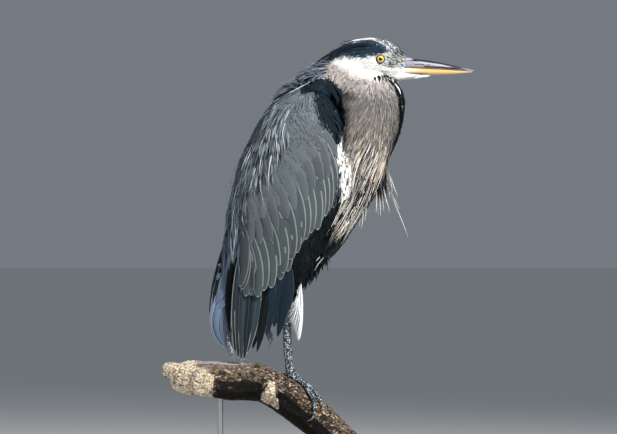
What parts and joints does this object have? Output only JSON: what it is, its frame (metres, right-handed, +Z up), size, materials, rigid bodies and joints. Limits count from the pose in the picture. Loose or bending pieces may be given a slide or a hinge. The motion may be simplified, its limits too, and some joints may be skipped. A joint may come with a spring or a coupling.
{
  "type": "grey heron model",
  "caption": "Tall grey wading bird resting hunched on one leg, with a dagger bill and draped plumes, gripping a cut dead branch held by rods over a flat base.",
  "frame": {"origin": "middle of the display base's underside", "axes": "+X the way the bird and its bill point, +Y its left side, +Z up"},
  "size_m": [0.5321, 0.25, 0.7779],
  "materials": {
    "plumage": "soft overlapping feathers, grey above, white head and breast streaks, black crest, shoulder and flanks",
    "bill": "satin horn, bluish grey above and orange yellow below",
    "eye": "wet glossy yellow iris round a black pupil",
    "leg_skin": "dull scaly grey-olive skin with pale scale edges",
    "claw": "satin dark horn",
    "bark": "weathered dead branch, rough brown bark and pale splintered wood",
    "board": "dark stained board with a satin lacquer",
    "steel": "brushed steel rod"
  },
  "bodies": {
    "root": {"bill_lower": "bill", "bill_upper": "bill", "breast_plumes": "plumage", "claw_left_hind": "claw", "claw_left_inner": "claw", "claw_left_middle": "claw", "claw_left_outer": "claw", "claw_right_hind": "claw", "claw_right_inner": "claw", "claw_right_middle": "claw", "claw_right_outer": "claw", "crest_left": "plumage", "crest_right": "plumage", "eye_left": "eye", "eye_right": "eye", "head": "plumage", "hock_right": "leg_skin", "mantle_left": "plumage", "mantle_right": "plumage", "neck_lower": "plumage", "neck_upper": "plumage", "perch": "bark", "quills_left": "plumage", "quills_right": "plumage", "shin_right": "leg_skin", "stand_base": "board", "stand_rod_front": "steel", "stand_rod_rear": "steel", "tail": "plumage", "tarsus_left": "leg_skin", "tarsus_right": "leg_skin", "thigh_left": "plumage", "thigh_right": "plumage", "toe_left_hind": "leg_skin", "toe_left_inner": "leg_skin", "toe_left_middle": "leg_skin", "toe_left_outer": "leg_skin", "toe_right_hind": "leg_skin", "toe_right_inner": "leg_skin", "toe_right_middle": "leg_skin", "toe_right_outer": "leg_skin", "trunk": "plumage", "wing_left": "plumage", "wing_right": "plumage"}
  },
  "joints": []
}
